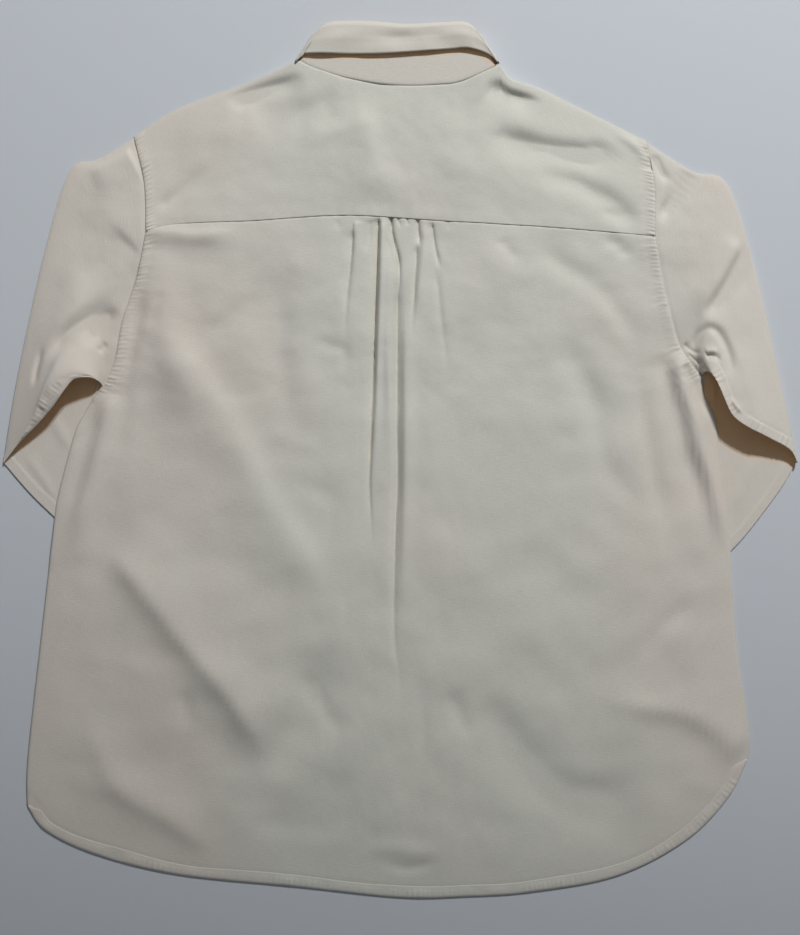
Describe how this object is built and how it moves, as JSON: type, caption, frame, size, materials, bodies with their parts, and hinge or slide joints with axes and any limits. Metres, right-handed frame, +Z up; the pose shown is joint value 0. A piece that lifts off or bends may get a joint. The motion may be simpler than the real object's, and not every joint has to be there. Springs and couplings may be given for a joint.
{
  "type": "skipper collar shirt laid flat, back upwards",
  "caption": "Loose collared shirt laid flat on its front, with a back yoke, centre back gathers, dropped shoulders, wide short sleeves and a curved shirt-tail hem.",
  "frame": {"origin": "centre of the bounding box's bottom face, on the surface the shirt lies on", "axes": "+Z up out of the back of the shirt, +Y towards the collar, +X towards the sleeve on the right as seen from above"},
  "size_m": [0.7351, 0.8091, 0.0245],
  "materials": {
    "body_cloth": "soft cream cotton weave, matt with a slight sheen",
    "sleeve_cloth": "soft cream cotton weave, matt with a slight sheen",
    "collar_cloth": "the same cream cotton, stiffened"
  },
  "bodies": {
    "root": {"front": "body_cloth", "back": "body_cloth", "yoke": "body_cloth", "sleeve_left": "sleeve_cloth", "sleeve_right": "sleeve_cloth", "under_collar": "collar_cloth", "upper_collar": "collar_cloth"}
  },
  "joints": []
}
